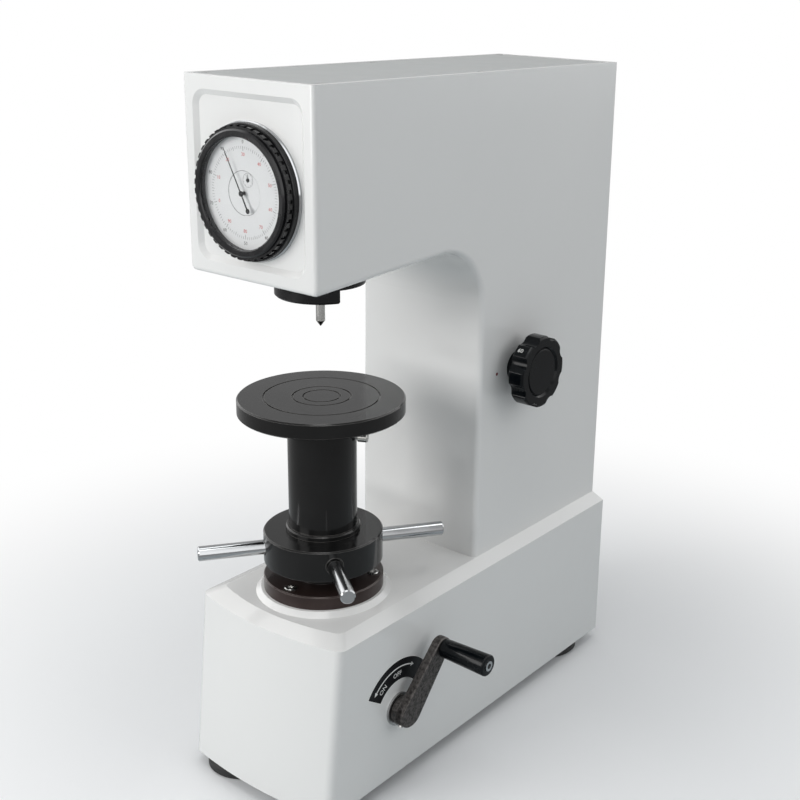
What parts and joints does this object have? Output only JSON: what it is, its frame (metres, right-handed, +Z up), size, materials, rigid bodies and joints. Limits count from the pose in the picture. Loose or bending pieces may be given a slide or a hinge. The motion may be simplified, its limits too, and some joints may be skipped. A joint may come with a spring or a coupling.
{
  "type": "hardness tester",
  "caption": "Bench-top manual Rockwell hardness tester: C-shaped housing, dial gauge, grooved test table on a capstan screw, load selector knob and side loading crank.",
  "frame": {"origin": "centre of the bounding box at bench level", "axes": "+Z up along the test axis, -Y toward the operator in front of the dial, +X toward the loading crank"},
  "size_m": [0.2506, 0.442, 0.63],
  "materials": {
    "casting": "gloss white enamel on a smooth casting",
    "cover": "dark grey satin paint",
    "bright": "zinc-plated steel",
    "feet": "black rubber",
    "chrome_trim": "polished chrome plate",
    "gauge_black": "black enamel",
    "dial_white": "white printed dial",
    "gauge_glass": "clear flat crystal",
    "pointer_black": "black lacquer",
    "machined": "turned and ground steel",
    "black_paint": "black paint",
    "grey_iron": "plain machined iron",
    "brass_work": "turned brass",
    "black_plastic": "moulded black phenolic",
    "crank_paint": "dark hammered paint on a casting",
    "flange_oxide": "dark brown-black oxide",
    "black_oxide": "polished black oxide"
  },
  "bodies": {
    "stand": {"frame_casting": "casting", "top_cover": "cover", "top_cover_screws": "bright", "rear_cover": "cover", "rear_cover_screws": "bright", "leveling_feet": "feet", "dial_seat_ring": "chrome_trim", "dial_case": "gauge_black", "sub_dial": "dial_white", "spindle_guide": "machined", "spindle_guard": "black_paint", "spindle_guard_screws": "bright", "fulcrum_block": "grey_iron", "fulcrum_screws": "bright", "measuring_pivots": "bright", "dashpot_cylinder": "brass_work", "fork_post": "bright", "crank_bushing": "machined", "lift_guides": "brass_work", "screw_flange": "flange_oxide", "flange_screws": "bright", "thrust_ring": "black_oxide", "screw_key_bush": "brass_work"},
    "bezel": {"dial_bezel": "gauge_black", "dial_plate": "dial_white", "dial_glass": "gauge_glass"},
    "main_hand": {"main_pointer": "pointer_black"},
    "turns_hand": {"turns_pointer": "pointer_black"},
    "plunger": {"gauge_plunger": "bright"},
    "spindle_group": {"spindle": "machined", "indenter": "bright", "indenter_screw": "bright", "spindle_spring": "bright"},
    "measuring_arm": {"measuring_lever": "machined"},
    "load_lever": {"main_lever": "grey_iron", "lever_knives": "machined"},
    "hanger": {"hanger_stirrup": "machined", "hanger_rod": "machined", "base_weight": "grey_iron", "middle_weight": "grey_iron", "lower_weight": "grey_iron"},
    "damper_piston": {"dashpot_piston": "machined"},
    "selector": {"selector_knob": "black_plastic", "selector_shaft": "machined"},
    "fork": {"selector_fork": "machined"},
    "crank": {"crank_arm": "crank_paint", "crank_screws": "bright", "crank_shaft": "machined", "grip_pin": "chrome_trim"},
    "grip": {"crank_grip": "black_plastic"},
    "link": {"link_rod": "machined"},
    "lift_shaft": {"rear_shaft": "machined", "lift_cam": "machined"},
    "lifter": {"lift_rod": "machined"},
    "table": {"elevating_screw": "machined", "guard_tube": "black_oxide", "tube_screw": "bright", "test_table": "black_oxide"},
    "capstan": {"capstan_hub": "black_oxide", "capstan_rods": "chrome_trim"}
  },
  "joints": [
    {"name": "capstan_turn", "type": "hinge", "parent": "stand", "child": "capstan", "pos_m": [-0.03229, -0.1275, 0.2195], "axis": [0, 0, 1], "range_deg": [-4464, 0]},
    {"name": "screw_lift", "type": "slide", "parent": "stand", "child": "table", "axis": [0, 0, 1], "range_m": [0, 0.062]},
    {"name": "bezel_turn", "type": "hinge", "parent": "stand", "child": "bezel", "pos_m": [-0.03229, -0.2075, 0.5435], "axis": [0, 1, 0], "continuous": true},
    {"name": "main_pointer_turn", "type": "hinge", "parent": "stand", "child": "main_hand", "pos_m": [-0.03229, -0.2115, 0.5435], "axis": [0, 1, 0], "range_deg": [0, 1440]},
    {"name": "turns_pointer_turn", "type": "hinge", "parent": "stand", "child": "turns_hand", "pos_m": [-0.02779, -0.2115, 0.554], "axis": [0, 1, 0], "range_deg": [-144, 0]},
    {"name": "spindle_lift", "type": "slide", "parent": "stand", "child": "spindle_group", "axis": [0, 0, 1], "range_m": [0, 0.0008], "deforming": ["spindle_spring"]},
    {"name": "measuring_lever_tilt", "type": "hinge", "parent": "stand", "child": "measuring_arm", "pos_m": [-0.03229, -0.11295, 0.5117], "axis": [1, 0, 0], "range_deg": [-3.2, 0]},
    {"name": "plunger_lift", "type": "slide", "parent": "stand", "child": "plunger", "axis": [0, 0, 1], "range_m": [0, 0.004]},
    {"name": "crank_turn", "type": "hinge", "parent": "stand", "child": "crank", "pos_m": [0.06271, -0.1235, 0.079], "axis": [1, 0, 0], "range_deg": [0, 95]},
    {"name": "grip_spin", "type": "hinge", "parent": "crank", "child": "grip", "pos_m": [0.09771, -0.08559, 0.13118], "axis": [1, 0, 0], "continuous": true},
    {"name": "link_pivot", "type": "hinge", "parent": "crank", "child": "link", "pos_m": [0.01171, -0.10507, 0.09589], "axis": [1, 0, 0], "range_deg": [-95, 0]},
    {"name": "lift_shaft_turn", "type": "hinge", "parent": "stand", "child": "lift_shaft", "pos_m": [-0.03229, 0.0405, 0.079], "axis": [1, 0, 0], "range_deg": [0, 95]},
    {"name": "lift_drop", "type": "slide", "parent": "stand", "child": "lifter", "axis": [0, 0, -1], "range_m": [0, 0.00346]},
    {"name": "load_lever_tilt", "type": "hinge", "parent": "stand", "child": "load_lever", "pos_m": [-0.03229, -0.1495, 0.556], "axis": [1, 0, 0], "range_deg": [-1.05, 0]},
    {"name": "hanger_drop", "type": "slide", "parent": "stand", "child": "hanger", "axis": [0, 0, -1], "range_m": [0, 0.00498]},
    {"name": "damper_drop", "type": "slide", "parent": "stand", "child": "damper_piston", "axis": [0, 0, -1], "range_m": [0, 0.00625]},
    {"name": "selector_turn", "type": "hinge", "parent": "stand", "child": "selector", "pos_m": [0.05771, 0.0635, 0.3545], "axis": [1, 0, 0], "range_deg": [0, 240]},
    {"name": "fork_lift", "type": "slide", "parent": "stand", "child": "fork", "axis": [0, 0, 1], "range_m": [0, 0.008]}
  ],
  "couplings": [
    {"joint": "screw_lift", "follows": "capstan_turn", "m_per_rad": -0.00079577},
    {"joint": "main_pointer_turn", "follows": "spindle_lift", "rad_per_m": 31416},
    {"joint": "turns_pointer_turn", "follows": "spindle_lift", "rad_per_m": -3141.6},
    {"joint": "measuring_lever_tilt", "follows": "spindle_lift", "rad_per_m": -68.729},
    {"joint": "plunger_lift", "follows": "spindle_lift", "ratio": 5},
    {"joint": "crank_turn", "follows": "hanger_drop", "rad_per_m": 332.82},
    {"joint": "link_pivot", "follows": "hanger_drop", "rad_per_m": -332.82},
    {"joint": "lift_shaft_turn", "follows": "hanger_drop", "rad_per_m": 332.82},
    {"joint": "lift_drop", "follows": "hanger_drop", "ratio": 0.69343},
    {"joint": "load_lever_tilt", "follows": "hanger_drop", "rad_per_m": -3.6496},
    {"joint": "damper_drop", "follows": "hanger_drop", "ratio": 1.2482},
    {"joint": "fork_lift", "follows": "selector_turn", "m_per_rad": 0.0019099}
  ]
}
